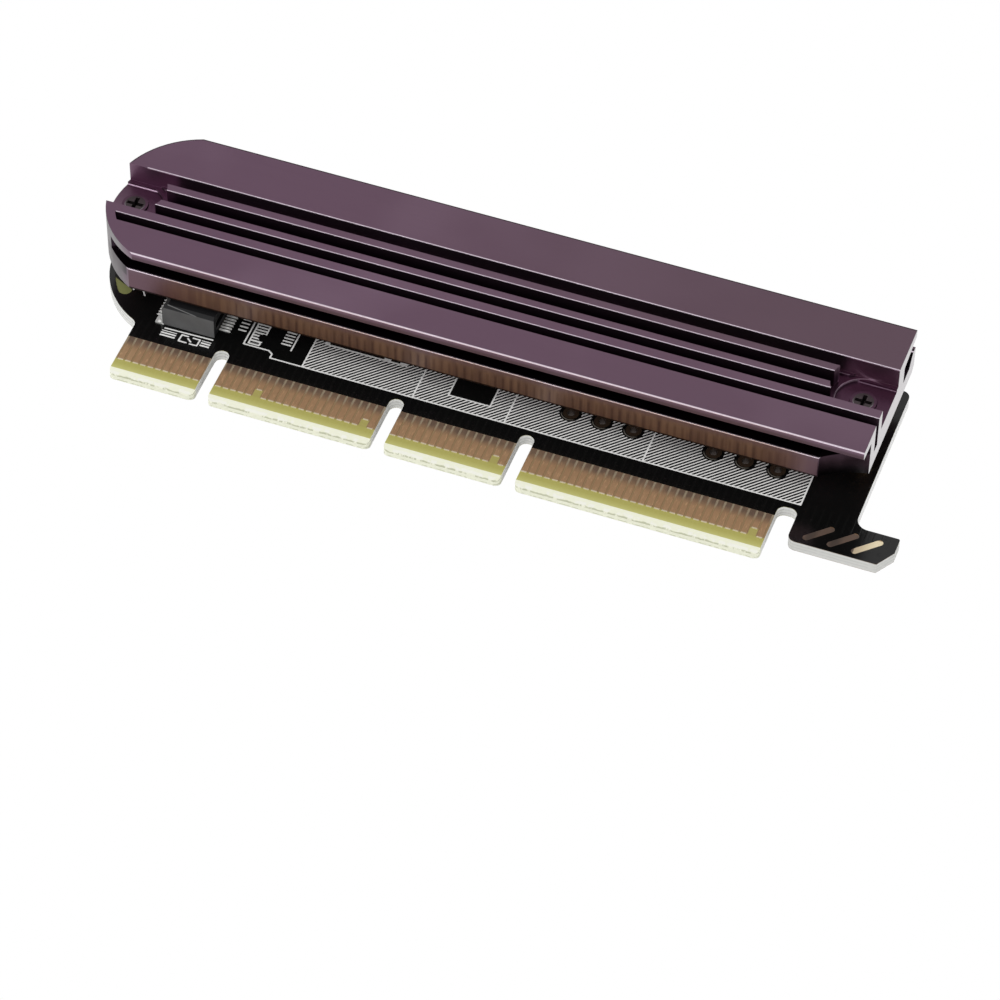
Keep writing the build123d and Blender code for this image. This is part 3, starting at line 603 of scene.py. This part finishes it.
def plainShader(name, low, high, rough, scale, metallic):
    s = Shader(name, Metallic=metallic)
    grain = s.noise(scale, 3.0)
    broad = s.noise(scale * 0.15, 2.0)
    tone = s.mix(low, high, broad)
    tone = s.mix(tone, scaled(low, 0.8), grain.above(0.6, 0.08) * 0.5)
    return s.finish(Base_Color=tone, Roughness=rough + grain * 0.12, Normal=s.bump(grain, 0.1, 0.00003))


materials = {
    "solder_mask": boardShader(),
    "gold_plate": goldShader("goldPlate", **gold["plate"]),
    "purple_anodised": anodisedShader(),
    "black_screws": screwShader(),
    "black_plastic": plasticShader(),
    "contact_metal": goldShader("contactStrip", **gold["strip"]),
}
for slot, finish in plainFinishes.items():
    materials[slot] = plainShader(*finish)
slots = {part["node"]: part["material_slot"] for part in frame["record"]["subparts"]}
for name, node in nodes.items():
    node.data.materials.clear()
    node.data.materials.append(materials[slots[name]])
print("materials done")

# Broken edges on the pieces that show them, in millimetres
edgeWidths = {"heatsink": 0.16, "socket_housing": 0.05, "heatsink_screws": 0.06, "heatsink_posts": 0.08}
for name, width in edgeWidths.items():
    weld = nodes[name].modifiers.new("weld", "WELD")
    weld.merge_threshold = 0.002 * mm
    bevel = nodes[name].modifiers.new("edgeBevelAndHighlight", "BEVEL")
    bevel.width = width * mm
    bevel.segments = 2
    bevel.limit_method = "ANGLE"
    bevel.angle_limit = math.radians(35)
    bevel.harden_normals = True
print("edges done")


def addObject(name, data):
    made = bpy.data.objects.new(name, data)
    bpy.context.scene.collection.objects.link(made)
    return made


def meshFrom(name, bm):
    mesh = bpy.data.meshes.new(name)
    bm.to_mesh(mesh)
    bm.free()
    return mesh


def blob(bm, centre, size, segments):
    matrix = Matrix.Translation(Vector(centre) * mm) @ Matrix.Diagonal((*(v * mm for v in size), 1.0))
    bmesh.ops.create_uvsphere(bm, u_segments=segments, v_segments=segments // 2, radius=0.5, matrix=matrix)


# Solder on the socket's tails and hold-down tabs
solder = {
    "pitch": 0.5,
    "keyPins": range(29, 33),
    "rows": (
        {"x": 1.85, "count": 38, "size": (1.3, 0.3, 0.16)},
        {"x": 10.3, "count": 37, "size": (1.5, 0.27, 0.5)},
    ),
    "tab": {"x": 2.2, "aside": 10.35, "lift": 0.08},
    "tabBlobs": {0.0: (0.8, 0.75, 0.6), 0.4: (0.5, 0.35, 0.4)},
}
bm = bmesh.new()
for row in solder["rows"]:
    for index in range(row["count"]):
        if index not in solder["keyPins"]:
            y = centreY + (index - (row["count"] - 1) / 2) * solder["pitch"]
            blob(bm, (row["x"], y, boardTop), row["size"], 12)
tab = solder["tab"]
for side in (-1, 1):
    for reach, size in solder["tabBlobs"].items():
        y = centreY + side * (tab["aside"] + reach * 0.6)
        blob(bm, (tab["x"] + reach, y, boardTop + tab["lift"]), size, 20)
bmesh.ops.bisect_plane(
    bm,
    geom=bm.verts[:] + bm.edges[:] + bm.faces[:],
    plane_co=(0.0, 0.0, (boardTop + 0.002) * mm),
    plane_no=(0.0, 0.0, 1.0),
    clear_inner=True,
)
bmesh.ops.recalc_face_normals(bm, faces=bm.faces)
for face in bm.faces:
    face.smooth = True
socketSolder = addObject("socketSolder", meshFrom("socketSolder", bm))
socketSolder.data.materials.append(materials["tinned_metal"])
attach(socketSolder, "root")
print("solder done")

# Floor: pale to the camera and in metal, plain paint under the lamps
ground = {"half": 2.0, "centre": (0.05, 0.02, -0.02 * mm), "paint": (0.8, 0.8, 0.8, 1.0), "rough": 0.7}


def floorShader():
    s = Shader("paleFloor", Base_Color=ground["paint"], Roughness=ground["rough"])
    glow = s.node("ShaderNodeEmission", 0, {}, Strength=1.0)
    fromCamera, fromMetal = s.node("ShaderNodeLightPath", ("Is Camera Ray", "Is Glossy Ray"))
    paint = Wire(s, s.surface.outputs[0])
    blend = s.node("ShaderNodeMixShader", 0, {}, fromCamera | fromMetal, paint, glow)
    s.feed(s.tree.nodes["Material Output"].inputs["Surface"], blend)
    return s.material


bm = bmesh.new()
matrix = Matrix.Translation(ground["centre"])
bmesh.ops.create_grid(bm, x_segments=8, y_segments=8, size=ground["half"], matrix=matrix)
floor = addObject("floor", meshFrom("floor", bm))
floor.data.materials.append(floorShader())
print("floor done")


def aimed(name, data, at, gaze, roll=0.0):
    made = addObject(name, data)
    made.location = at
    made.rotation_mode = "QUATERNION"
    turn = Quaternion((0.0, 0.0, 1.0), math.radians(roll))
    made.rotation_quaternion = Vector(gaze).to_track_quat("-Z", "Y") @ turn
    return made


# World and lamps
surround = {"Color": (1.0, 1.0, 1.0, 1.0), "Strength": 0.28}
world = bpy.data.worlds.new("studio")
bpy.context.scene.world = world
world.use_nodes = True
for key, value in surround.items():
    world.node_tree.nodes["Background"].inputs[key].default_value = value

lamps = {
    "frontSoft": {"at": (-0.12, -0.52, 0.78), "size": (0.60, 0.55), "watts": 4.2},
    "leftSoft": {"at": (-0.75, -0.25, 0.35), "size": (0.5, 0.4), "watts": 1.6},
    "rightSoft": {"at": (0.9, -0.1, 0.32), "size": (1.5, 0.6), "watts": 3.6},
    "backSheen": {"at": (-0.12, 0.72, 0.82), "size": (0.9, 0.4), "watts": 0.85},
}
target = Vector((0.045, 0.018, 0.005))
for name, facts in lamps.items():
    lamp = bpy.data.lights.new(name, "AREA")
    lamp.shape = "RECTANGLE"
    lamp.size, lamp.size_y = facts["size"]
    lamp.energy = facts["watts"]
    aimed(name, lamp, facts["at"], target - Vector(facts["at"]))

# Camera at the photograph's place
view = {
    "sensor": 36.0,
    "lens": 175.655,
    "at": (0.181806, -0.370634, 0.441402),
    "gaze": (-0.220982, 0.625605, -0.748188),
    "roll": 0.89,
}
camera = bpy.data.cameras.new("camera")
camera.sensor_width = view["sensor"]
camera.lens = view["lens"]
bpy.context.scene.camera = aimed("camera", camera, view["at"], view["gaze"], view["roll"])
bpy.context.scene.view_settings.view_transform = "Standard"
print("stage done")
